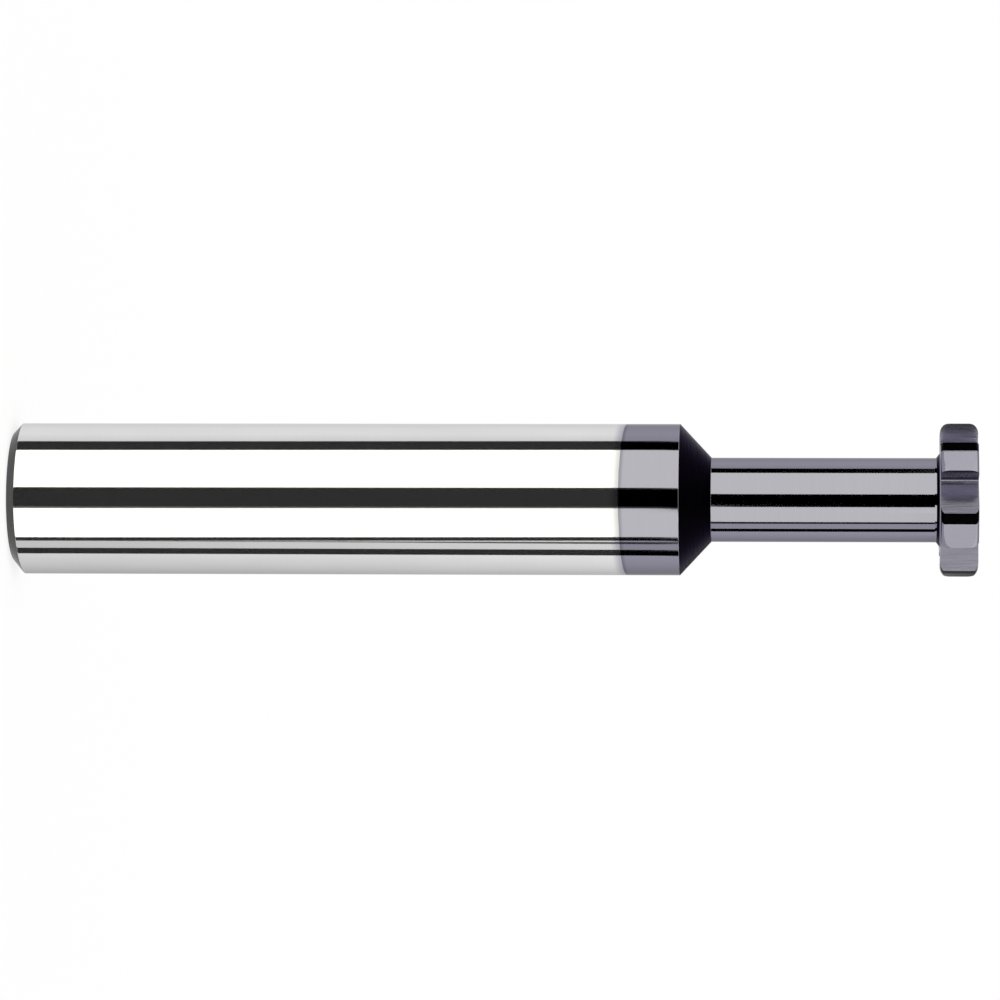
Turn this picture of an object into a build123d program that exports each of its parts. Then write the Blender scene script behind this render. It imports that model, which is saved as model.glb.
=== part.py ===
from build123d import *
import os
from math import cos, hypot, radians, sin, tan

# Woodruff keyseat cutter, ground from one round of solid carbide.
# Millimetres. The axis is Z: the shank's end face lies on Z = 0 and the toothed head is at the top.
# The first tooth's tip is on +X. It cuts turning anticlockwise seen from above: a right-hand cutter.

# Shank
shank_diameter = 12.7
shank_length = 56.05
shank_end_chamfer = 0.7

# Cone from the shank down to the neck
cone_half_angle = 47.0

# Neck, with the flare that stiffens its joint with the head
neck_diameter = 7.05
neck_length = 19.05
neck_flare = 0.43

# Head, ground a little over the nominal half inch, as keyseat cutters are
head_diameter = 12.9
head_width = 3.175
side_relief_angle = 1.0
corner_radius = 0.82

# Teeth, measured from each cutting edge
tooth_count = 6
rake_angle = 2.0
land_width = 2.09
land_relief_angle = 15.5
back_width = 0.95
back_relief_angle = 21.5
gullet_depth = 2.24
gullet_radius = 0.37

# Heights and radii that follow
shank_radius = shank_diameter / 2
neck_radius = neck_diameter / 2
head_radius = head_diameter / 2
cone_length = (shank_radius - neck_radius) / tan(radians(cone_half_angle))
neck_bottom = shank_length + cone_length
head_bottom = neck_bottom + neck_length
head_top = head_bottom + head_width
side_radius = head_radius - corner_radius
side_relief_depth = side_radius * tan(radians(side_relief_angle))


def step_back(start, length, relief_angle, tip_angle):
    """The point reached from start by a flat that trails the tip and falls away at the relief angle."""
    heading = radians(tip_angle - 90 - relief_angle)
    return (start[0] + length * cos(heading), start[1] + length * sin(heading))


def tooth_points(tip_angle):
    """Heel, end of the land, cutting edge and gullet root of the tooth whose tip is at tip_angle."""
    tip = (head_radius * cos(radians(tip_angle)), head_radius * sin(radians(tip_angle)))
    land_end = step_back(tip, land_width, land_relief_angle, tip_angle)
    heel = step_back(land_end, back_width, back_relief_angle, tip_angle)
    rake_heading = radians(tip_angle + 180 + rake_angle)
    root = (tip[0] + gullet_depth * cos(rake_heading), tip[1] + gullet_depth * sin(rake_heading))
    return heel, land_end, tip, root


def toothed_outline():
    """The head's outline across the axis: six teeth, each gullet rounded at its root."""
    teeth = [tooth_points(index * 360 / tooth_count) for index in range(tooth_count)]
    outline = Polyline(*[point for tooth in teeth for point in tooth], close=True)
    face = make_face(outline)
    roots = [tooth[3] for tooth in teeth]
    at_roots = [
        vertex for vertex in face.vertices()
        if any(hypot(vertex.X - x, vertex.Y - y) < 0.001 for x, y in roots)
    ]
    return fillet(at_roots, gullet_radius)


def head_blank():
    """The wheel before its teeth are cut: rounded at both rims, and dished so that only its rim rubs."""
    lower_centre = (0, head_bottom + side_relief_depth)
    upper_centre = (0, head_top - side_relief_depth)
    lower_rim = head_bottom + corner_radius
    upper_rim = head_top - corner_radius
    outline = [
        Line(lower_centre, (side_radius, head_bottom)),
        CenterArc((side_radius, lower_rim), corner_radius, -90, 90),
        Line((head_radius, lower_rim), (head_radius, upper_rim)),
        CenterArc((side_radius, upper_rim), corner_radius, 0, 90),
        Line((side_radius, head_top), upper_centre),
        Line(upper_centre, lower_centre),
    ]
    return revolve(Plane.XZ * make_face(Curve() + outline), Axis.Z)


def head():
    """The toothed head: the teeth's flats are ground straight across the rounded wheel."""
    return Pos(0, 0, head_bottom) * extrude(toothed_outline(), head_width) & head_blank()


def shank_and_neck():
    """Everything below the head, turned and ground about the axis, up to the head's middle."""
    profile = Polyline(
        (0, 0),
        (shank_radius - shank_end_chamfer, 0),
        (shank_radius, shank_end_chamfer),
        (shank_radius, shank_length),
        (neck_radius, neck_bottom),
        (neck_radius, head_bottom - neck_flare),
        (neck_radius + neck_flare, head_bottom),
        (neck_radius + neck_flare, head_bottom + head_width / 2),
        (0, head_bottom + head_width / 2),
        close=True,
    )
    return revolve(Plane.XZ * make_face(profile), Axis.Z)


keyseat_cutter = shank_and_neck() + head()

os.makedirs("parts", exist_ok=True)
export_step(keyseat_cutter, "parts/keyseat_cutter.step")
print("overall length", round(head_top, 2), "volume", round(keyseat_cutter.volume, 1))
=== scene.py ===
"""A woodruff keyseat cutter of solid carbide, dressed, lit and seen as in its product photograph.

Metres. The tool's axis is Z, the shank's end face lies on Z = 0 and the toothed head is at the top.
The first tooth's tip is on +X, and the teeth cut turning anticlockwise seen from above.
"""

import logging
from dataclasses import dataclass, field
from enum import IntEnum
from math import cos, radians, sin, tan

import bpy
import numpy as np
from mathutils import Matrix, Vector


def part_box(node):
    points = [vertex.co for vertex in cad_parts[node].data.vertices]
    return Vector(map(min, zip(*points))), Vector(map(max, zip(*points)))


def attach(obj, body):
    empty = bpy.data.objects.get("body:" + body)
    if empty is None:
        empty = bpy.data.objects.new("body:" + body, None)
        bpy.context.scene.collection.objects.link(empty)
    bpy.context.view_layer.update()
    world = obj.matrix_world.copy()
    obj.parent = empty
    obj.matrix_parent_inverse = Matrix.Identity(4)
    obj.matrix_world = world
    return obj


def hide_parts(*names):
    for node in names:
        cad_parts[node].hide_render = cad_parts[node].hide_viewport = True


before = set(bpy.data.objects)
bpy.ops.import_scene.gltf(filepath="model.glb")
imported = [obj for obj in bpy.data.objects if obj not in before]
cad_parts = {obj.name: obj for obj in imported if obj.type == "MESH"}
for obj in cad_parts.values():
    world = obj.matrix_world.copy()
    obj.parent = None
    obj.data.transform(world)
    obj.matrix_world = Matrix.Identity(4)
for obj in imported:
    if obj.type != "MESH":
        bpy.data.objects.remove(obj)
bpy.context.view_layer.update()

MM = 0.001
CAD_NODE = "keyseat_cutter"
Colour = tuple[float, float, float]
Sides = tuple[float, float, float]
Spot = tuple[float, float]
Points = np.ndarray
log = logging.getLogger("cutter")


def grey(level: float) -> Colour:
    """A colour whose red, green and blue are the same."""
    return (level, level, level)


class Surface(IntEnum):
    """The differently finished surfaces of the cutter, in the order of its material slots."""

    END = 0
    SHANK = 1
    CONE = 2
    NECK = 3
    SIDE = 4
    LAND = 5
    RELIEF = 6
    GULLET = 7
    RAKE = 8


class Signal:
    """A shader socket on which the arithmetic signs work, each adding one Math node."""

    def __init__(self, shading: "Shading", socket: bpy.types.NodeSocket) -> None:
        """Remembers the socket and the material that it belongs to."""
        self.shading = shading
        self.socket = socket

    def __add__(self, other: "Signal | float") -> "Signal":
        """Self plus other."""
        return self.shading.math("ADD", self, other)

    def __radd__(self, other: float) -> "Signal":
        """Other plus self."""
        return self.shading.math("ADD", other, self)

    def __sub__(self, other: "Signal | float") -> "Signal":
        """Self minus other."""
        return self.shading.math("SUBTRACT", self, other)

    def __rsub__(self, other: float) -> "Signal":
        """Other minus self."""
        return self.shading.math("SUBTRACT", other, self)

    def __mul__(self, other: "Signal | float") -> "Signal":
        """Self times other."""
        return self.shading.math("MULTIPLY", self, other)

    def __rmul__(self, other: float) -> "Signal":
        """Other times self."""
        return self.shading.math("MULTIPLY", other, self)

    def __truediv__(self, other: "Signal | float") -> "Signal":
        """Self divided by other."""
        return self.shading.math("DIVIDE", self, other)

    def __rtruediv__(self, other: float) -> "Signal":
        """Other divided by self."""
        return self.shading.math("DIVIDE", other, self)


class Shading:
    """One material's nodes, and the ways of adding to them."""

    def __init__(self, name: str) -> None:
        """Makes an empty material.

        Args:
            name: The material's name.
        """
        self.material = bpy.data.materials.new(name)
        self.material.use_nodes = True
        self.tree = self.material.node_tree
        self.tree.nodes.clear()

    def node(self, kind: str, settings: dict[str, object], values: dict[str | int, object]) -> bpy.types.Node:
        """Adds a node.

        Args:
            kind: The node's type.
            settings: The node's own properties, which are set first.
            values: A value or a Signal for each input, by its name or its number.

        Returns:
            The node.
        """
        made = self.tree.nodes.new(kind)
        for name, setting in settings.items():
            setattr(made, name, setting)
        for key, value in values.items():
            if isinstance(key, int):
                socket = made.inputs[key]
            else:
                socket = next(entry for entry in made.inputs if entry.enabled and entry.name == key)
            if isinstance(value, Signal):
                self.tree.links.new(value.socket, socket)
            else:
                socket.default_value = value
        return made

    def out(self, node: bpy.types.Node, name: str | None = None) -> Signal:
        """One of a node's outputs, by name, or its first that is in use."""
        used = (entry for entry in node.outputs if entry.enabled)
        return Signal(self, next(entry for entry in used if name in (None, entry.name)))

    def math(self, operation: str, *values: "Signal | float") -> Signal:
        """The result of one Math node on one, two or three values."""
        return self.out(self.node("ShaderNodeMath", {"operation": operation}, dict(enumerate(values))))

    def place(self) -> tuple[Signal, Signal, Signal]:
        """The place on the cutter, from its Object coordinates.

        Returns:
            How far it lies along X, Y and Z, in millimetres.
        """
        spot = self.out(self.node("ShaderNodeTexCoord", {}, {}), "Object")
        scaled = self.node("ShaderNodeVectorMath", {"operation": "SCALE"}, {"Vector": spot, "Scale": 1 / MM})
        split = self.node("ShaderNodeSeparateXYZ", {}, {"Vector": self.out(scaled)})
        return self.out(split, "X"), self.out(split, "Y"), self.out(split, "Z")

    def radius(self, x: Signal, y: Signal) -> Signal:
        """The distance from the tool's axis: the root of x squared plus y squared."""
        return self.math("SQRT", x * x + y * y)

    def noise(self, x: Signal, y: Signal, z: Signal | float, detail: float = 3.0) -> Signal:
        """Smooth noise about zero, from about -1 to 1, whose grain is one unit wide.

        Args:
            x: First coordinate, in grains.
            y: Second coordinate, in grains.
            z: Third coordinate, in grains.
            detail: How many finer layers are added.

        Returns:
            The noise.
        """
        spot = self.out(self.node("ShaderNodeCombineXYZ", {}, {"X": x, "Y": y, "Z": z}))
        texture = self.node("ShaderNodeTexNoise", {}, {"Vector": spot, "Scale": 1.0, "Detail": detail})
        return (self.out(texture) - 0.5) * 2.0

    def grinding_lines(self, x: Signal, y: Signal, z: Signal, pitch: float, drift: float = 0.15) -> Signal:
        """Noise in fine lines round the axis, a pitch apart along it, which drift slowly round the tool."""
        return self.noise(x * drift, y * drift, z / pitch)

    def rise(self, value: Signal, low: float, high: float, bottom: float = 0.0, top: float = 1.0) -> Signal:
        """A smooth step.

        Args:
            value: What the step follows.
            low: Where the step starts.
            high: Where it ends.
            bottom: The result below low.
            top: The result above high.

        Returns:
            The step's height.
        """
        settings = {"interpolation_type": "SMOOTHSTEP"}
        values = {"Value": value, "From Min": low, "From Max": high, "To Min": bottom, "To Max": top}
        return self.out(self.node("ShaderNodeMapRange", settings, values))

    def tint(self, colour: Colour | Signal, strength: Signal) -> Signal:
        """A colour made lighter or darker by a varying strength."""
        values = {0: colour, "Scale": strength}
        return self.out(self.node("ShaderNodeVectorMath", {"operation": "SCALE"}, values))

    def blend(self, share: Signal, first: Colour, second: Colour) -> Signal:
        """The first colour where the share is 0 and the second where it is 1."""
        values = {"Factor": share, "A": (*first, 1.0), "B": (*second, 1.0)}
        return self.out(self.node("ShaderNodeMix", {"data_type": "RGBA"}, values))

    def bumps(self, height: Signal, depth: float) -> Signal:
        """The surface's direction over bumps of the given depth in metres."""
        return self.out(self.node("ShaderNodeBump", {}, {"Height": height, "Distance": depth}))

    def metal(self, colour: Signal, roughness: Signal, edge_tint: Colour, metallic: float = 1.0,
              normal: Signal | None = None) -> Signal:
        """A metal's shader.

        Args:
            colour: What it reflects seen square on.
            roughness: How far it spreads reflections.
            edge_tint: What the reflection at a grazing angle is held back to, where 1 is not at all.
            metallic: 1 for bare metal, a little less where fine scratches scatter light.
            normal: The surface's direction, where it has bumps.

        Returns:
            The shader.
        """
        values = {
            "Base Color": colour,
            "Roughness": roughness,
            "Metallic": metallic,
            "Specular Tint": (*edge_tint, 1.0),
        }
        if normal is not None:
            values["Normal"] = normal
        return self.out(self.node("ShaderNodeBsdfPrincipled", {}, values))

    def finish(self, shader: Signal) -> bpy.types.Material:
        """Connects the shader to the material's output."""
        self.node("ShaderNodeOutputMaterial", {}, {"Surface": shader})
        return self.material


@dataclass(frozen=True)
class Coating:
    """The dark violet-grey hard coating on the head end: its look and where it stops on the shank.

    Here and in the finishes, lengths are in millimetres, as the shaders measure them, apart from the depths
    of bumps, which are in metres. A drift is the number of grains of noise in a millimetre.
    """

    colour: Colour = (0.250, 0.242, 0.300)
    roughness: float = 0.05
    edge_tint: Colour = grey(0.60)
    edge_height: float = 51.63
    edge_tilt: float = 0.56
    edge_facing_deg: float = -97.6
    edge_blur: float = 0.05
    shank_radius: float = 6.35
    waver: float = 0.05
    waver_drift: float = 0.5
    rim_width: float = 0.42
    rim_shade: float = 0.66

    def past_edge(self, shading: Shading, x: Signal, y: Signal, z: Signal) -> Signal:
        """How far above the coating's edge a place on the shank lies, in millimetres.

        The edge is a plane across the shank that dips a little on one side, with a slight waver.

        Args:
            shading: The material that is being made.
            x: Place along X, in millimetres.
            y: Place along Y.
            z: Place along Z.

        Returns:
            The height above the edge, less than zero on the bare side.
        """
        facing = radians(self.edge_facing_deg)
        dip = (x * cos(facing) + y * sin(facing)) * (self.edge_tilt / self.shank_radius)
        waver = shading.noise(x * self.waver_drift, y * self.waver_drift, 0.0, 2.0) * self.waver
        return z - self.edge_height + dip + waver


@dataclass(frozen=True)
class ShankFinish:
    """The ground shank: bright bare carbide, and the coating from its edge upwards."""

    coating: Coating
    colour: Colour = (0.690, 0.690, 0.692)
    roughness: float = 0.05
    metallic: float = 0.96
    edge_tint: Colour = grey(0.82)
    halo_width: float = 0.85
    halo_colour: Colour = (0.400, 0.396, 0.450)
    line_pitch: float = 0.22
    line_shade: float = 0.015
    line_roughness: float = 0.01
    coated_line_shade: float = 0.02
    coated_line_roughness: float = 0.005
    cloud_shade: float = 0.05
    cloud_drift_across: float = 0.35
    cloud_drift_along: float = 0.12

    def material(self) -> bpy.types.Material:
        """Makes the shank's material.

        Returns:
            Two metals mixed at the coating's edge, the bare one dulled just before it.
        """
        shading = Shading("ground_shank")
        x, y, z = shading.place()
        past = self.coating.past_edge(shading, x, y, z)
        lines = shading.grinding_lines(x, y, z, self.line_pitch)
        across = self.cloud_drift_across
        cloud = shading.noise(x * across, y * across, z * self.cloud_drift_along, 2.0)
        halo = shading.blend(shading.rise(past, -self.halo_width, 0.0), self.colour, self.halo_colour)
        bare = shading.metal(
            shading.tint(halo, 1.0 + cloud * self.cloud_shade + lines * self.line_shade),
            self.roughness + lines * self.line_roughness,
            self.edge_tint,
            self.metallic,
        )
        rim = shading.rise(past, 0.0, self.coating.rim_width, self.coating.rim_shade, 1.0)
        coated = shading.metal(
            shading.tint(self.coating.colour, rim * (1.0 + lines * self.coated_line_shade)),
            self.coating.roughness + lines * self.coated_line_roughness,
            self.coating.edge_tint,
        )
        cover = shading.rise(past, -self.coating.edge_blur, self.coating.edge_blur)
        mixed = shading.node("ShaderNodeMixShader", {}, {0: cover, 1: bare, 2: coated})
        return shading.finish(shading.out(mixed))


@dataclass(frozen=True)
class NeckFinish:
    """The coated neck, ground as smooth as the shank."""

    coating: Coating
    line_pitch: float = 0.2
    line_shade: float = 0.03
    line_roughness: float = 0.005

    def material(self) -> bpy.types.Material:
        """Makes the neck's material.

        Returns:
            The coating with faint grinding lines round it.
        """
        shading = Shading("coated_neck")
        lines = shading.grinding_lines(*shading.place(), self.line_pitch)
        colour = shading.tint(self.coating.colour, 1.0 + lines * self.line_shade)
        roughness = self.coating.roughness + lines * self.line_roughness
        return shading.finish(shading.metal(colour, roughness, self.coating.edge_tint))


@dataclass(frozen=True)
class ConeFinish:
    """The cone, turned and left with dark rings from the tool that cut it. Its near-black colour is painted
    shade, standing in for the dark reflection on the coated cone.
    """

    # Painted shade: near-black in place of the coating's violet grey, for the dark reflection on the cone and
    # on the neck's flare.
    colour: Colour = (0.0003, 0.0002, 0.0005)
    roughness: float = 0.34
    edge_tint: Colour = (0.550, 0.535, 0.590)
    ring_pitch: float = 0.16
    ring_drift: float = 0.55
    ring_contrast: float = 1.8
    ring_roughness: float = 0.05
    ring_depth: float = 0.022 * MM
    darkest: float = 0.1

    def material(self) -> bpy.types.Material:
        """Makes the cone's material.

        Returns:
            A metal painted near-black as painted shade, whose rings differ in strength along the slope and
            fade in and out round it.
        """
        shading = Shading("turned_cone")
        x, y, z = shading.place()
        rings = shading.grinding_lines(x, y, z, self.ring_pitch, self.ring_drift)
        strength = shading.math("MAXIMUM", 1.0 + rings * self.ring_contrast, self.darkest)
        colour = shading.tint(self.colour, strength)
        roughness = self.roughness + rings * self.ring_roughness
        bumps = shading.bumps(rings, self.ring_depth)
        return shading.finish(shading.metal(colour, roughness, self.edge_tint, normal=bumps))


@dataclass(frozen=True)
class BrushedFinish:
    """A coated flat of the head, with streaks along the tool's axis left by the wheel that ground it."""

    name: str
    colour: Colour
    roughness: float
    edge_tint: Colour
    streak_width: float = 0.11
    streak_length: float = 2.2
    streak_contrast: float = 0.3
    streak_roughness: float = 0.04
    # Inner and outer painted shade: the colour is scaled between these radii, painting reflections lighter or
    # darker.
    inner_painted_shade: float = 1.0
    outer_painted_shade: float = 1.0
    inner_radius: float = 4.3
    outer_radius: float = 6.2
    bump_depth: float = 0.0

    def material(self) -> bpy.types.Material:
        """Makes the flat's material.

        Returns:
            A metal with lighter and darker streaks, each a long grain of noise, under a painted shade that
            changes from the gullet's root out to the tooth's edge.
        """
        shading = Shading(self.name)
        x, y, z = shading.place()
        streaks = shading.noise(x / self.streak_width, y / self.streak_width, z / self.streak_length)
        out = shading.radius(x, y)
        # Painted shade: lighter or darker with the distance from the axis.
        shade = shading.rise(out, self.inner_radius, self.outer_radius, self.inner_painted_shade, self.outer_painted_shade)
        colour = shading.tint(self.colour, shade * (1.0 + streaks * self.streak_contrast))
        roughness = self.roughness + streaks * self.streak_roughness
        bumps = shading.bumps(streaks, self.bump_depth) if self.bump_depth else None
        return shading.finish(shading.metal(colour, roughness, self.edge_tint, normal=bumps))


@dataclass(frozen=True)
class SideFinish:
    """The dished sides of the head, coated over fine rings from the grinding wheel."""

    coating: Coating
    shade: float = 0.86
    roughness: float = 0.24
    ring_pitch: float = 0.09
    ring_drift: float = 0.25
    ring_contrast: float = 0.16
    ring_roughness: float = 0.05
    ring_depth: float = 0.0015 * MM

    def material(self) -> bpy.types.Material:
        """Makes the sides' material.

        Returns:
            The coating over rings of noise that follow the distance from the axis.
        """
        shading = Shading("ground_side")
        x, y, _ = shading.place()
        way = shading.radius(x, y)
        rings = shading.noise(way / self.ring_pitch, x * self.ring_drift, y * self.ring_drift)
        colour = shading.tint(self.coating.colour, self.shade + rings * self.ring_contrast)
        roughness = self.roughness + rings * self.ring_roughness
        bumps = shading.bumps(rings, self.ring_depth)
        return shading.finish(shading.metal(colour, roughness, self.coating.edge_tint, normal=bumps))


@dataclass(frozen=True)
class EndFinish:
    """The shank's end and its chamfer: bare carbide off a coarse wheel, rougher than the shank and painted
    far darker, a painted shade for the shadowed floor that they reflect.
    """

    # Painted shade: far darker than the shank's bare carbide, for the shadowed floor under the chamfer.
    colour: Colour = (0.0745, 0.0745, 0.0755)
    roughness: float = 0.28
    edge_tint: Colour = grey(0.74)
    ring_pitch: float = 0.09
    ring_drift: float = 0.3
    ring_contrast: float = 0.5
    ring_roughness: float = 0.06

    def material(self) -> bpy.types.Material:
        """Makes the end's material.

        Returns:
            Metal painted dark grey as painted shade, with rings that follow the distance from the axis, and
            the height on the chamfer.
        """
        shading = Shading("ground_end")
        x, y, z = shading.place()
        way = shading.radius(x, y) + z
        rings = shading.noise(way / self.ring_pitch, x * self.ring_drift, y * self.ring_drift)
        colour = shading.tint(self.colour, 1.0 + rings * self.ring_contrast)
        roughness = self.roughness + rings * self.ring_roughness
        return shading.finish(shading.metal(colour, roughness, self.edge_tint))


def rounded_corner(before: Points, corner: Points, after: Points, radius: float, steps: int) -> Points:
    """The arc that rounds a corner between two straight runs.

    The centre lies on the corner's bisector, radius over the sine of half the angle away. The arc turns
    from one touching point to the other: each point is the two end rays weighted by the sines of the
    turn still to go and the turn made, over the sine of the whole turn.

    Args:
        before: A point on the run that comes in.
        corner: The corner.
        after: A point on the run that goes out.
        radius: The arc's radius.
        steps: How many points the arc has.

    Returns:
        The arc's points in order, one a row.
    """
    come = (before - corner) / np.linalg.norm(before - corner)
    leave = (after - corner) / np.linalg.norm(after - corner)
    half = np.arccos(np.dot(come, leave)) / 2
    bisector = (come + leave) / np.linalg.norm(come + leave)
    centre = corner + bisector * radius / np.sin(half)
    reach = radius / np.tan(half)
    first = corner + come * reach - centre
    last = corner + leave * reach - centre
    turn = np.pi - 2 * half
    made = np.linspace(0, 1, steps)[:, None] * turn
    return centre + (np.sin(turn - made) * first + np.sin(made) * last) / np.sin(turn)


def ring_rows(profile: Points, angles: Points) -> Points:
    """A profile of radius and height carried round the axis.

    Args:
        profile: Radius and height of each row.
        angles: The angle of each column.

    Returns:
        Rows by columns of points: radius times cosine, radius times sine, height.
    """
    radius, height = profile[:, :1], profile[:, 1:]
    return np.stack([radius * np.cos(angles), radius * np.sin(angles), height + 0 * angles], axis=-1)


def turned_by(angle: float, place: Points) -> Points:
    """A flat place turned about the axis by an angle in radians."""
    return np.array([[cos(angle), -sin(angle)], [sin(angle), cos(angle)]]) @ place


def bearing_of(flat: Points) -> Points:
    """The angle of each flat place round the axis."""
    return np.arctan2(flat[..., 1], flat[..., 0])


def at_distance(start: Points, towards: Points, distance: Points) -> Points:
    """The places on a straight run at given distances from the axis.

    The place is the start plus t times the run's direction, where t is minus b less the root of b
    squared less the start's squared distance plus the given one squared, and b is the dot product of
    the start and the direction.

    Args:
        start: The run's outer end.
        towards: A place further in on the run.
        distance: The distances, none larger than the start's own.

    Returns:
        The places, one a row.
    """
    along = (towards - start) / np.linalg.norm(towards - start)
    b = np.dot(start, along)
    inside = np.maximum(b**2 - np.dot(start, start) + distance**2, 0)
    return start + (-b - np.sqrt(inside))[:, None] * along


def straight_run(start: Points, end: Points, steps: int, hold: float = 0.01 * MM) -> Points:
    """Rows along a straight run, with one more close to each end that keeps the shading straight.

    Args:
        start: Where the run starts.
        end: Where it ends.
        steps: How many even steps the run has.
        hold: How far the extra rows are from the ends.

    Returns:
        The rows between the start and the end.
    """
    close = hold / np.linalg.norm(end - start)
    share = np.concatenate([[close], np.linspace(0, 1, steps + 1)[1:-1], [1 - close]])[:, None]
    return start * (1 - share) + end * share


@dataclass
class Band:
    """Rows of points up the cutter, and the finish of the faces above each row."""

    points: Points
    finish: Points

    @classmethod
    def plain(cls, points: Points, surface: Surface) -> "Band":
        """Rows whose faces all have one finish."""
        return cls(points, np.full(points.shape[:2], int(surface)))


@dataclass
class Shank:
    """The plain round shank, with a chamfer at its end and a cone down to the neck at the other."""

    radius: float
    length: float = 56.05 * MM
    chamfer: float = 0.7 * MM
    cone_half_angle_deg: float = 47.0
    neck_radius: float = 3.525 * MM
    edge_softness: float = 0.03 * MM
    chamfer_softness: float = 0.12 * MM
    deep_side_deg: float = -7.6
    deeper_across: float = 0.40 * MM
    deeper_along: float = 0.20 * MM
    deeper_opposite: float = 0.2
    end_inner: float = 0.25
    end_outer: float = 0.95
    end_rows: int = 4
    edge_steps: int = 4
    painted_dark_edge_rows: int = 2
    bevel_steps: int = 2
    barrel_steps: int = 11
    cone_steps: int = 7

    @property
    def cone_top(self) -> float:
        """Where the cone meets the neck."""
        return self.length + (self.radius - self.neck_radius) / tan(radians(self.cone_half_angle_deg))

    def softened(self, before: Spot, corner: Spot, after: Spot, softness: float | None = None) -> Points:
        """A corner of the turned profile with its edge just broken."""
        points = [np.array(point) for point in (before, corner, after)]
        return rounded_corner(*points, softness or self.edge_softness, self.edge_steps)

    def unevenly_chamfered(self, points: Points) -> Points:
        """Rows of the end and the barrel with the chamfer ground deeper on one side.

        With c the cosine of the angle from the deep side, and q the share on the opposite side, a place's
        share is c squared times the sum of half of 1 + q and half of 1 - q times c: 1 on the deep side, q
        opposite and nothing between. A place moves towards the axis by its share of the depth across, all
        of it on the chamfer's inner edge and none on the barrel, and along the axis by its share of the
        depth along, all of it on the chamfer's outer edge and fading up the barrel.

        Args:
            points: Rows by columns of points.

        Returns:
            The points after their moves.
        """
        x, y, height = points[..., 0], points[..., 1], points[..., 2]
        radius = np.hypot(x, y)
        side = np.cos(np.arctan2(y, x) - radians(self.deep_side_deg))
        share = side**2 * ((1 + self.deeper_opposite) / 2 + (1 - self.deeper_opposite) / 2 * side)
        near_edge = np.clip((self.radius - radius) / self.chamfer, 0, 1)
        inner = self.radius - self.chamfer
        across = share * self.deeper_across * near_edge * np.minimum(radius / inner, 1)
        along = share * self.deeper_along * np.minimum(height / self.chamfer, 1) * (1 - height / self.length)
        scale = 1 - across / radius
        return np.stack([x * scale, y * scale, height + along], axis=-1)

    def bands(self, angles: Points) -> list[Band]:
        """The shank's rows.

        Args:
            angles: The angle of each column.

        Returns:
            The end face with its chamfer, the ground cylinder and the cone.
        """
        centre = (0.0, 0.0)
        inner = (self.radius - self.chamfer, 0.0)
        outer = (self.radius, self.chamfer)
        shoulder = (self.radius, self.length)
        top = (self.neck_radius, self.cone_top)
        above = (self.neck_radius, self.cone_top + self.chamfer)
        at_inner = self.softened(centre, inner, outer)
        at_outer = self.softened(inner, outer, shoulder, self.chamfer_softness)
        at_shoulder = self.softened(outer, shoulder, top)
        at_top = self.softened(shoulder, top, above)
        face = np.linspace(self.end_inner, self.end_outer, self.end_rows)[:, None] * at_inner[0]
        bevel = straight_run(at_inner[-1], at_outer[0], self.bevel_steps)
        barrel = straight_run(at_outer[-1], at_shoulder[0], self.barrel_steps)
        cone = straight_run(at_shoulder[-1], at_top[0], self.cone_steps)
        # The first rows of the chamfer's outer edge take the end's painted shade.
        painted_dark_edge, bright = np.split(at_outer, [self.painted_dark_edge_rows])
        end = ring_rows(np.vstack([face, at_inner, bevel, painted_dark_edge]), angles)
        ground = ring_rows(np.vstack([bright, barrel]), angles)
        return [
            Band.plain(self.unevenly_chamfered(end), Surface.END),
            Band.plain(self.unevenly_chamfered(ground), Surface.SHANK),
            Band.plain(ring_rows(at_shoulder[:-1], angles), Surface.SHANK),
            Band.plain(ring_rows(np.vstack([at_shoulder[-1:], cone, at_top[:1]]), angles), Surface.CONE),
            Band.plain(ring_rows(at_top[1:], angles), Surface.NECK),
        ]


@dataclass
class Neck:
    """The slim neck and the flare that stiffens its joint with the head, gentle first and then steep.

    Most of the steep part has the cone's near-black painted shade, which stands in for the flare's dark
    reflection, and its rim has the neck's finish again.
    """

    radius: float
    bottom: float
    length: float = 19.05 * MM
    flare: float = 0.43 * MM
    gentle_length: float = 0.14 * MM
    gentle_rise: float = 0.02 * MM
    dark_part: float = 0.85
    steps: int = 7

    @property
    def top(self) -> float:
        """Where the neck meets the head."""
        return self.bottom + self.length

    def bands(self, angles: Points) -> list[Band]:
        """The neck's rows.

        Args:
            angles: The angle of each column.

        Returns:
            The straight neck and the flare, up to but not with the head's side.
        """
        foot = np.array([self.radius, self.top - self.flare])
        run = straight_run(np.array([self.radius, self.bottom]), foot, self.steps)
        knee = foot + np.array([self.gentle_rise, self.gentle_length])
        rim = foot + self.flare
        light = knee * (1 - self.dark_part) + rim * self.dark_part
        return [
            Band.plain(ring_rows(np.vstack([run, foot]), angles), Surface.NECK),
            # The steep part of the flare takes the cone's near-black painted shade, for its dark reflection.
            Band.plain(ring_rows(knee[None], angles), Surface.CONE),
            Band.plain(ring_rows(light[None], angles), Surface.NECK),
        ]


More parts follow.
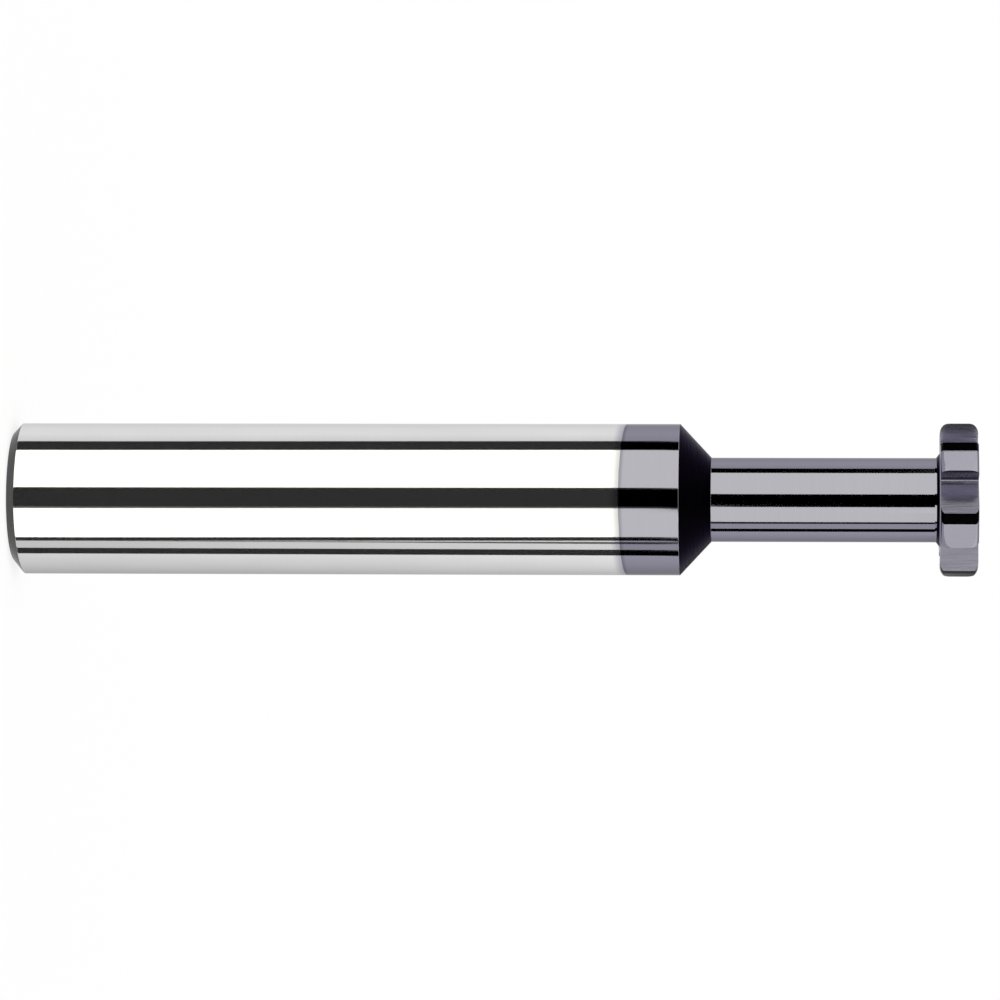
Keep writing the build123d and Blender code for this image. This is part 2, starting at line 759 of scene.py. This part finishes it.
@dataclass
class ToothedHead:
    """The head: a wheel with rounded rims, into which six teeth with two straight flats each are ground."""

    radius: float
    bottom: float
    hub_radius: float
    width: float = 3.175 * MM
    corner_radius: float = 0.82 * MM
    side_relief_deg: float = 1.0
    teeth: int = 6
    rake_deg: float = 2.0
    land_width: float = 2.09 * MM
    land_relief_deg: float = 15.5
    back_width: float = 0.95 * MM
    back_relief_deg: float = 21.5
    gullet_depth: float = 2.24 * MM
    gullet_radius: float = 0.37 * MM
    back_columns: int = 14
    relief_columns: int = 6
    land_columns: int = 12
    rake_columns: int = 9
    root_columns: int = 15
    rounding_rows: int = 15
    rake_lag_deg: float = 3.0
    root_lag_deg: float = 0.5
    side_rows_out: tuple[float, ...] = (0.0, 0.3, 0.65, 0.96)
    centre_rows_in: tuple[float, ...] = (0.35, 0.7, 0.95)
    side_radius: float = field(init=False)
    corner: Points = field(init=False)
    angles: Points = field(init=False)
    surface: Points = field(init=False)

    def __post_init__(self) -> None:
        """Works out one tooth's columns and repeats them round the head."""
        self.side_radius = self.radius - self.corner_radius
        flat, depth, ring, surface = self.tooth_columns()
        turns = np.arange(self.teeth) * 2 * np.pi / self.teeth
        spin = np.array([[np.cos(turns), -np.sin(turns)], [np.sin(turns), np.cos(turns)]])
        turned = np.einsum("abt,rcb->rtca", spin, flat).reshape(len(flat), -1, 2)
        self.corner = np.concatenate([turned, np.tile(depth, self.teeth)[..., None]], axis=-1)
        self.angles = (ring + turns[:, None]).reshape(-1)
        self.surface = np.tile(surface, self.teeth)

    def corners(self) -> dict[str, Points]:
        """The corners of the tooth whose tip is on +X, and of the gullet behind it.

        Returns:
            The root behind the tooth, its heel, the end of its land, its tip and the root in front.
        """
        def back(start: Points, length: float, relief_deg: float) -> Points:
            """The end of a flat that trails the tip and falls away at the relief angle."""
            heading = radians(-90 - relief_deg)
            return start + length * np.array([cos(heading), sin(heading)])

        tip = np.array([self.radius, 0.0])
        land_end = back(tip, self.land_width, self.land_relief_deg)
        heel = back(land_end, self.back_width, self.back_relief_deg)
        inwards = radians(180 + self.rake_deg)
        root = tip + self.gullet_depth * np.array([cos(inwards), sin(inwards)])
        return {"behind": turned_by(-2 * np.pi / self.teeth, root), "heel": heel, "land_end": land_end,
                "tip": tip, "root": root}

    def crest(self, spot: dict[str, Points]) -> tuple[Points, Points]:
        """The rounded rim over a tooth, from its heel to its tip.

        A quarter circle rounds the wheel's rim. A column of the outline that lies at distance r from the
        axis meets it after a turn whose sine is r less the side's radius, over the corner radius. Each
        row is an even share of that turn: the distance is the side's radius plus the corner radius times
        the sine, and the depth is the corner radius times one minus the cosine. The first column keeps to
        the tooth's back and the last one to its cutting face, and the angles between them spread evenly
        with the outline's.

        Args:
            spot: The tooth's corners.

        Returns:
            Rows by columns of flat places, and of depths from the side of the head.
        """
        share = np.linspace(0, 1, self.relief_columns + 1)[:-1, None]
        relief = spot["heel"] * (1 - share) + spot["land_end"] * share
        share = np.linspace(0, 1, self.land_columns + 1)[:, None]
        outline = np.vstack([relief, spot["land_end"] * (1 - share) + spot["tip"] * share])
        whole = np.arcsin((np.linalg.norm(outline, axis=1) - self.side_radius) / self.corner_radius)
        turn = np.linspace(0, 1, self.rounding_rows)[:, None] * whole
        distance = self.side_radius + self.corner_radius * np.sin(turn)
        heel = at_distance(spot["heel"], spot["behind"], distance[:, 0])
        tip = at_distance(spot["tip"], spot["root"], distance[:, -1])
        bearing = np.arctan2(outline[:, 1], outline[:, 0])
        share = (bearing - bearing[0]) / (bearing[-1] - bearing[0])
        angle = bearing_of(heel)[:, None] * (1 - share) + bearing_of(tip)[:, None] * share
        flat = np.stack([distance * np.cos(angle), distance * np.sin(angle)], axis=-1)
        return flat, self.corner_radius * (1 - np.cos(turn))

    def tooth_columns(self) -> tuple[Points, Points, Points, Points]:
        """One tooth's columns, from the gullet behind it to the gullet in front.

        The back of the tooth and its cutting face are flat: between the crest and the gullet's rounded
        root their places and depths go evenly. Round the root the places stay on the outline.

        Returns:
            Rows by columns of flat places and of depths, the angle where each column meets the hub, and
            the finish of the faces after it.
        """
        spot = self.corners()
        step = 2 * np.pi / self.teeth
        fillet = rounded_corner(spot["tip"], spot["root"], turned_by(step, spot["heel"]), self.gullet_radius,
                                self.root_columns + 1)
        start = turned_by(-step, fillet[-1])
        crest, crest_depth = self.crest(spot)
        share = (np.arange(self.back_columns) / self.back_columns)[:, None]
        back = start * (1 - share) + crest[:, :1] * share
        share = (np.arange(1, self.rake_columns) / self.rake_columns)[:, None]
        rake = crest[:, -1:] * (1 - share) + fillet[0] * share
        root = np.broadcast_to(fillet[:-1], (self.rounding_rows, self.root_columns, 2))
        flat = np.concatenate([back, crest, rake, root], axis=1)
        share = np.arange(self.root_columns) / self.root_columns
        depth = np.concatenate([
            np.repeat(crest_depth[:, :1], self.back_columns, axis=1),
            crest_depth,
            np.repeat(crest_depth[:, -1:], self.rake_columns - 1, axis=1),
            crest_depth[:, -1:] * (1 - share) + crest_depth[:, :1] * share,
        ], axis=1)
        depth = depth + self.dish(flat[0]) * np.linspace(1, 0, self.rounding_rows)[:, None]
        counts = [self.back_columns, self.relief_columns, self.land_columns, self.rake_columns,
                  self.root_columns]
        finishes = [Surface.GULLET, Surface.RELIEF, Surface.LAND, Surface.RAKE, Surface.GULLET]
        knots = np.cumsum([0] + counts[:-1])
        lag = np.radians([0.0, 0.0, 0.0, self.rake_lag_deg, self.root_lag_deg])
        met = bearing_of(flat[0, knots]) - lag
        ring = np.interp(np.arange(sum(counts)), np.append(knots, sum(counts)), np.append(met, met[0] + step))
        return flat, depth, ring, np.repeat([int(finish) for finish in finishes], counts)

    def dish(self, flat: Points) -> Points:
        """How far in the dished side lies at each place: the way in from the rim times the slope."""
        inside = np.maximum(self.side_radius - np.linalg.norm(flat, axis=-1), 0)
        return inside * tan(radians(self.side_relief_deg))

    def side_rows(self, parts: Points, start: Points, end: Points) -> Points:
        """Rows on a side of the head, as flat places and how far they lie inside it.

        Args:
            parts: How far along each row is, from 0 at start to 1 at end.
            start: Flat places of the first row.
            end: Flat places of the last one.

        Returns:
            Rows by columns of x, y and depth.
        """
        flat = start * (1 - parts[:, None, None]) + end * parts[:, None, None]
        return np.concatenate([flat, self.dish(flat)[..., None]], axis=-1)

    def bands(self) -> list[Band]:
        """The head's rows: its lower side, its rim and its upper side, up to but not with the centre.

        Returns:
            One band for each, where a row's height is measured in from the side that it is nearer to.
        """
        rim = self.corner[0, :, :2]
        hub = self.hub_radius * np.stack([np.cos(self.angles), np.sin(self.angles)], axis=-1)
        away = np.array(self.side_rows_out)
        below = self.side_rows(away, hub, rim)
        above = self.side_rows(1 - away[::-1], rim, hub)
        inner = self.side_rows(np.array(self.centre_rows_in), hub, 0 * hub)
        up = np.array([1.0, 1.0, 1.0])
        down = np.array([1.0, 1.0, -1.0])
        foot = np.array([0.0, 0.0, self.bottom])
        top = np.array([0.0, 0.0, self.bottom + self.width])
        edge = np.vstack([self.corner * up + foot, self.corner[::-1] * down + top])
        return [
            Band.plain(below * up + foot, Surface.SIDE),
            Band(edge[:-1], np.tile(self.surface, (len(edge) - 1, 1))),
            Band.plain(np.vstack([edge[-1:], above * down + top, inner * down + top]), Surface.SIDE),
        ]


@dataclass
class KeyseatCutter:
    """The whole cutter, one closed mesh from the centre of its end face to the centre of its head."""

    name: str = "ground_cutter"
    smooth_up_to_deg: float = 10.2

    def finishes(self) -> dict[Surface, bpy.types.Material]:
        """Makes the materials.

        Returns:
            The material of each surface.
        """
        coating = Coating()
        return {
            Surface.END: EndFinish().material(),
            Surface.SHANK: ShankFinish(coating).material(),
            Surface.CONE: ConeFinish().material(),
            Surface.NECK: NeckFinish(coating).material(),
            Surface.SIDE: SideFinish(coating).material(),
            Surface.LAND: BrushedFinish("ground_land", colour=(0.220, 0.2105, 0.279), roughness=0.16,
                                        edge_tint=grey(0.45), streak_contrast=0.03).material(),
            # Relief flats: the near-black colour is painted shade, for the dark reflection on the coated
            # flats.
            Surface.RELIEF: BrushedFinish("relief_flat", colour=(0.0007, 0.0006, 0.0010), roughness=0.3,
                                          edge_tint=grey(0.52), streak_contrast=0.5).material(),
            # Gullets: slightly darker towards the root, a painted shade in the hollow.
            Surface.GULLET: BrushedFinish("brushed_gullet", colour=(0.150, 0.144, 0.195), roughness=0.20,
                                          edge_tint=grey(0.5), inner_painted_shade=0.95,
                                          bump_depth=0.004 * MM).material(),
            # Rake faces: a colour lighter than the coating, as painted light, that darkens out to the tooth's
            # edge as painted shade, for their reflections.
            Surface.RAKE: BrushedFinish("brushed_rake", colour=(0.420, 0.405, 0.515), roughness=0.22,
                                        edge_tint=grey(0.5), streak_contrast=0.5, outer_painted_shade=0.16,
                                        inner_radius=5.4, outer_radius=6.35,
                                        bump_depth=0.004 * MM).material(),
        }

    def mesh(self) -> bpy.types.Mesh:
        """Builds the mesh.

        The rows of all bands are joined to one grid, closed round the axis: face (i, j) has the corners
        (i, j), (i, j + 1), (i + 1, j + 1) and (i + 1, j). A fan of triangles closes each end.

        Returns:
            The closed mesh with the finish of each face.
        """
        low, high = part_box(CAD_NODE)
        shank = Shank(min(high.y, -low.y))
        neck = Neck(shank.neck_radius, shank.cone_top)
        head = ToothedHead(min(high.x, -low.x), neck.top, neck.radius + neck.flare)
        bands = shank.bands(head.angles) + neck.bands(head.angles) + head.bands()
        rows = np.vstack([band.points for band in bands])
        finish = np.vstack([band.finish for band in bands])
        count, columns = rows.shape[:2]
        log.info("grid of %d rows and %d columns, %.2f mm tall", count, columns, rows[..., 2].max() / MM)
        centre = head.bottom + head.width - head.dish(np.zeros(2))
        points = np.vstack([[[0, 0, 0]], rows.reshape(-1, 3), [[0, 0, centre]]])
        index = 1 + np.arange(count * columns).reshape(count, columns)
        beside = np.roll(index, -1, axis=1)
        walls = np.stack([index[:-1], beside[:-1], beside[1:], index[1:]], axis=-1).reshape(-1, 4)
        start_fan = np.stack([0 * index[0], beside[0], index[0]], axis=-1)
        end_fan = np.stack([0 * index[-1] + len(points) - 1, index[-1], beside[-1]], axis=-1)
        slots = np.concatenate([finish[:-1].reshape(-1), finish[0], finish[-1]])
        mesh = bpy.data.meshes.new(self.name)
        mesh.from_pydata(points.tolist(), [], walls.tolist() + start_fan.tolist() + end_fan.tolist())
        mesh.polygons.foreach_set("use_smooth", np.ones(len(mesh.polygons), dtype=bool))
        mesh.set_sharp_from_angle(angle=radians(self.smooth_up_to_deg))
        for _, material in sorted(self.finishes().items()):
            mesh.materials.append(material)
        mesh.polygons.foreach_set("material_index", slots.astype(np.int32))
        mesh.update()
        return mesh

    def build(self) -> bpy.types.Object:
        """Makes the cutter's object and says what it stands for in the frame.

        Returns:
            The object.
        """
        piece = bpy.data.objects.new(self.name, self.mesh())
        bpy.context.scene.collection.objects.link(piece)
        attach(piece, "root")
        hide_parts(CAD_NODE)
        return piece


@dataclass(frozen=True)
class StripCard:
    """An upright strip bent round the tool's axis, a softbox or a black flag that only reflections see.

    Its sides are given as angles from the camera's direction towards the picture's top. Each side has
    three, at the levels that the shank's end, its shoulder and the neck reflect to the camera. A glow of 1
    is the white of the surroundings.
    """

    name: str
    starts_deg: Sides
    ends_deg: Sides
    glow: tuple[float, ...] = (0.0,)
    gain: Sides = (1.0, 1.0, 1.0)
    colour: Colour = (1.0, 1.0, 1.0)
    distance: float = 0.9
    low: float = -0.30
    high: float = 0.33
    levels: Sides = (-0.110, 0.028, 0.040)
    columns: int = 65

    def build(self, camera_azimuth_deg: float) -> bpy.types.Object:
        """Makes the card.

        The surface has two parameters, u across and v up. At each height the two sides' angles are read
        off straight lines between the three given ones, the angle goes evenly in u from one side to the
        other, and the place is the distance times the cosine and the sine of that angle. The glow is read
        off straight lines too: between its values, evenly spaced in u, times the gain at that height.

        Args:
            camera_azimuth_deg: Where the camera stands round the axis.

        Returns:
            The card.
        """
        rows = np.unique(np.clip([self.low, *self.levels, self.high], self.low, self.high))
        u, height = np.meshgrid(np.linspace(0, 1, self.columns), rows)
        start = np.interp(height, self.levels, self.starts_deg)
        end = np.interp(height, self.levels, self.ends_deg)
        angle = np.radians(camera_azimuth_deg - (start * (1 - u) + end * u))
        points = np.stack([self.distance * np.cos(angle), self.distance * np.sin(angle), height], axis=-1)
        index = np.arange(u.size).reshape(u.shape)
        faces = np.stack([index[:-1, :-1], index[:-1, 1:], index[1:, 1:], index[1:, :-1]], axis=-1)
        glow = np.interp(u, np.linspace(0, 1, len(self.glow)), self.glow)
        glow *= np.interp(height, self.levels, self.gain)
        mesh = bpy.data.meshes.new(self.name)
        mesh.from_pydata(points.reshape(-1, 3).tolist(), [], faces.reshape(-1, 4).tolist())
        strengths = mesh.attributes.new("glow", "FLOAT", "POINT").data
        strengths.foreach_set("value", glow.reshape(-1).astype(np.float32))
        mesh.materials.append(self.material())
        card = bpy.data.objects.new(self.name, mesh)
        bpy.context.scene.collection.objects.link(card)
        card.visible_camera = False
        card.visible_diffuse = False
        card.visible_shadow = False
        card.visible_transmission = False
        return card

    def material(self) -> bpy.types.Material:
        """Makes the card's material.

        Returns:
            A glow as strong as each point of the card says.
        """
        shading = Shading(self.name)
        strength = shading.out(shading.node("ShaderNodeAttribute", {"attribute_name": "glow"}, {}), "Fac")
        glow = shading.node("ShaderNodeEmission", {}, {"Color": shading.tint(self.colour, strength)})
        shading.material.cycles.emission_sampling = "NONE"
        return shading.finish(shading.out(glow))


@dataclass(frozen=True)
class PhotographCamera:
    """The photograph's camera: a long lens level with the neck, turned so that the tool lies across."""

    azimuth_deg: float = -97.6
    distance: float = 480 * MM
    height: float = 69.16 * MM
    aim_height: float = 40.93 * MM
    lens: float = 206.27
    roll_deg: float = 0.120
    tool_rise: float = 0.059 * MM
    nearest: float = 0.01
    furthest: float = 100.0

    def build(self) -> bpy.types.Object:
        """Makes the camera, with +Z to the picture's right.

        Returns:
            The camera's object, which is also the scene's camera.
        """
        azimuth = radians(self.azimuth_deg)
        up = Vector((sin(azimuth), -cos(azimuth), 0))
        aim = Vector((0, 0, self.aim_height)) - up * self.tool_rise
        place = Vector((self.distance * cos(azimuth), self.distance * sin(azimuth), self.height))
        place -= up * self.tool_rise
        forward = (aim - place).normalized()
        right = forward.cross(up).normalized()
        up = right.cross(forward)
        turned = Matrix((right, up, -forward)).transposed() @ Matrix.Rotation(radians(self.roll_deg), 3, "Z")
        data = bpy.data.cameras.new("photograph_camera")
        data.lens = self.lens
        data.clip_start = self.nearest
        data.clip_end = self.furthest
        camera = bpy.data.objects.new("photograph_camera", data)
        camera.matrix_world = Matrix.Translation(place) @ turned.to_4x4()
        bpy.context.scene.collection.objects.link(camera)
        bpy.context.scene.camera = camera
        return camera


def upright(angle_deg: float) -> Sides:
    """The side of a card that has one angle at all its levels."""
    return (angle_deg, angle_deg, angle_deg)


@dataclass(frozen=True)
class Studio:
    """White surroundings, a pale floor, and the upright softboxes and flags whose images stripe the tool.

    The tall cards reach far below the floor. The cards for the head stand nearer than the others, and start
    at the height that the head's lower side reflects, or above all that the neck does.
    """

    camera_azimuth_deg: float
    floor_size: float = 3.0
    floor_colour: Colour = (0.99, 0.99, 0.99)
    floor_glow: float = 0.82
    softbox: float = 1.872
    softbox_colour: Colour = (1.0, 1.02, 0.885)
    wing_reach: float = 30.0
    wing_distance: float = 0.95
    tall_low: float = -1.5
    head_distance: float = 0.88
    head_low: float = 0.0945
    above_neck: float = 0.101

    def cards(self) -> list[StripCard]:
        """The strips round the tool.

        Returns:
            The cards from the lower flag round the front to the upper backdrop, then those from beside the
            lower flag the other way to the lower backdrop, each ending where the next one starts. Then the
            nearer ones, which only the head reflects, and the two wings above and below all of them.
        """
        warm = self.softbox_colour
        box = {"glow": (self.softbox,), "colour": warm}
        tall = {"low": self.tall_low}
        head = {"distance": self.head_distance, "low": self.head_low}
        above = {"distance": self.head_distance, "low": self.above_neck}
        edges = {
            "lower_flag": (-67.3, -65.2, -68.2),
            "lower_softbox": (-61.4, -58.6, -63.0),
            "front_flag": (-14.8, -13.2, -19.5),
            "upper_softbox": (17.1, 17.8, 15.5),
            "upper_flag": (79.3, 81.2, 78.9),
            "upper_backdrop": (98.1, 100.4, 95.9),
            "side_flag": (-81.2, -82.4, -86.5),
            "lower_backdrop": (-93.3, -94.8, -97.6),
        }
        slit = (-67.3, -71.9, -68.2)
        tail = (-12.2, -11.0, -19.5)
        upper_end, upper_wing = upright(172.0), upright(150.0)
        lower_end, lower_wing = upright(-172.0), upright(-150.0)
        return [
            StripCard("lower_flag", edges["lower_flag"], edges["lower_softbox"]),
            StripCard("lower_softbox", edges["lower_softbox"], edges["front_flag"], **box, **tall),
            StripCard("front_tail", edges["front_flag"], tail, (0.14,), **tall),
            StripCard("front_flag", tail, edges["upper_softbox"], **tall),
            StripCard("upper_softbox", edges["upper_softbox"], edges["upper_flag"], **box, **tall),
            StripCard("upper_flag", edges["upper_flag"], edges["upper_backdrop"]),
            StripCard("upper_backdrop", edges["upper_backdrop"], upper_end, (0.86, 1.03, 1.03, 0.96, 0.92)),
            StripCard("lower_slit", (-67.3, -67.1, -68.2), slit, (0.11,)),
            StripCard("lower_gap", slit, edges["side_flag"], (1.0,), (0.76, 0.93, 0.97)),
            StripCard("side_flag", edges["side_flag"], edges["lower_backdrop"]),
            StripCard("lower_backdrop", edges["lower_backdrop"], lower_end, (1.07, 0.61), (0.86, 1.04, 1.03)),
            StripCard("head_softbox", upright(78.9), upright(95.0), **box, **above),
            StripCard("head_screen", upright(-63.3), upright(-36.0), (1.42,), colour=warm, **head),
            StripCard("head_gleam", upright(-36.0), upright(-26.0), (3.4,), colour=warm, **above),
            StripCard("rake_shade", upright(-115.0), upright(-148.0), (0.12,), **head),
            StripCard("head_shade", upright(-157.0), upright(-172.0), (0.22,), **head),
            StripCard("high_wing", lower_wing, upper_wing, **box, low=StripCard.high, high=self.wing_reach),
            StripCard("low_wing", lower_end, upper_end, (1.05,), distance=self.wing_distance,
                      low=-self.wing_reach, high=StripCard.low),
        ]

    def build(self) -> None:
        """Makes the surroundings, the floor and the cards."""
        world = bpy.data.worlds.new("white_room")
        world.use_nodes = True
        world.node_tree.nodes["Background"].inputs["Color"].default_value = (1.0, 1.0, 1.0, 1.0)
        bpy.context.scene.world = world
        self.floor()
        for card in self.cards():
            card.build(self.camera_azimuth_deg)

    def floor(self) -> bpy.types.Object:
        """Makes the floor, which the tool's shadow falls on.

        Returns:
            A square under the tool that reflections don't see, because the cards reach below it.
        """
        half = self.floor_size / 2
        mesh = bpy.data.meshes.new("pale_floor")
        corners = [(-half, -half, 0.0), (half, -half, 0.0), (half, half, 0.0), (-half, half, 0.0)]
        mesh.from_pydata(corners, [], [(0, 1, 2, 3)])
        shading = Shading("pale_floor")
        matt = shading.node("ShaderNodeBsdfDiffuse", {}, {"Color": (*self.floor_colour, 1.0)})
        glow = shading.node("ShaderNodeEmission", {}, {"Strength": 1.0})
        seen = shading.out(shading.node("ShaderNodeLightPath", {}, {}), "Is Camera Ray")
        values = {0: seen * self.floor_glow, 1: shading.out(matt), 2: shading.out(glow)}
        mesh.materials.append(shading.finish(shading.out(shading.node("ShaderNodeMixShader", {}, values))))
        floor = bpy.data.objects.new("pale_floor", mesh)
        bpy.context.scene.collection.objects.link(floor)
        floor.visible_glossy = False
        return floor


def main() -> None:
    """Builds the cutter, the studio and the camera."""
    logging.basicConfig(level=logging.INFO, format="%(name)s: %(message)s")
    bpy.context.scene.view_settings.view_transform = "Standard"
    piece = KeyseatCutter().build()
    log.info("%s: %d faces", piece.name, len(piece.data.polygons))
    camera = PhotographCamera()
    camera.build()
    Studio(camera.azimuth_deg).build()


if __name__ == "__main__":
    main()
